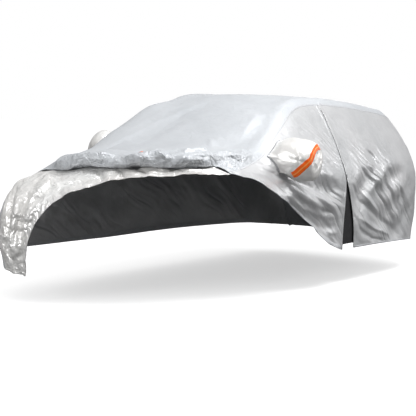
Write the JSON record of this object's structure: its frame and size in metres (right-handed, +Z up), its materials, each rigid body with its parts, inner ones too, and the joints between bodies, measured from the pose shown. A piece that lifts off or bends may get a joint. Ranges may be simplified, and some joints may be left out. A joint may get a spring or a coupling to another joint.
{
  "type": "fitted car cover",
  "caption": "Fitted fabric car cover draped in the shape of an estate car, front edge drawn back, with mirror pockets and a zipped door slit.",
  "frame": {"origin": "underside of the roof cloth on the centre line, where the car's roof carries the cover", "axes": "+X to the car's left, +Y towards the tail along the cover's longest side, +Z up"},
  "size_m": [1.9816, 4.4684, 1.3105],
  "materials": {
    "foil_cloth": "bright silver film on cloth, crinkled",
    "silver_cloth": "pale silver coated cloth, soft satin",
    "side_cloth": "silver grey coated cloth, satin",
    "orange_tape": "woven orange tape, retroreflective",
    "zip_tape": "woven zip tape, matt",
    "guard_cloth": "black lining cloth, matt",
    "slider_metal": "cast zinc, plated"
  },
  "bodies": {
    "root": {"front_panel": "foil_cloth", "roof_panel": "silver_cloth", "tail_panel": "silver_cloth", "right_side_panel": "side_cloth", "left_front_side_panel": "side_cloth", "left_rear_side_panel": "side_cloth", "left_mirror_pocket": "foil_cloth", "right_mirror_pocket": "foil_cloth", "left_reflective_strip": "orange_tape", "right_reflective_strip": "orange_tape", "lip_tab": "orange_tape", "zip_tape_front": "zip_tape", "zip_tape_rear": "zip_tape", "zip_guard": "guard_cloth", "zip_slider": "slider_metal"}
  },
  "joints": []
}
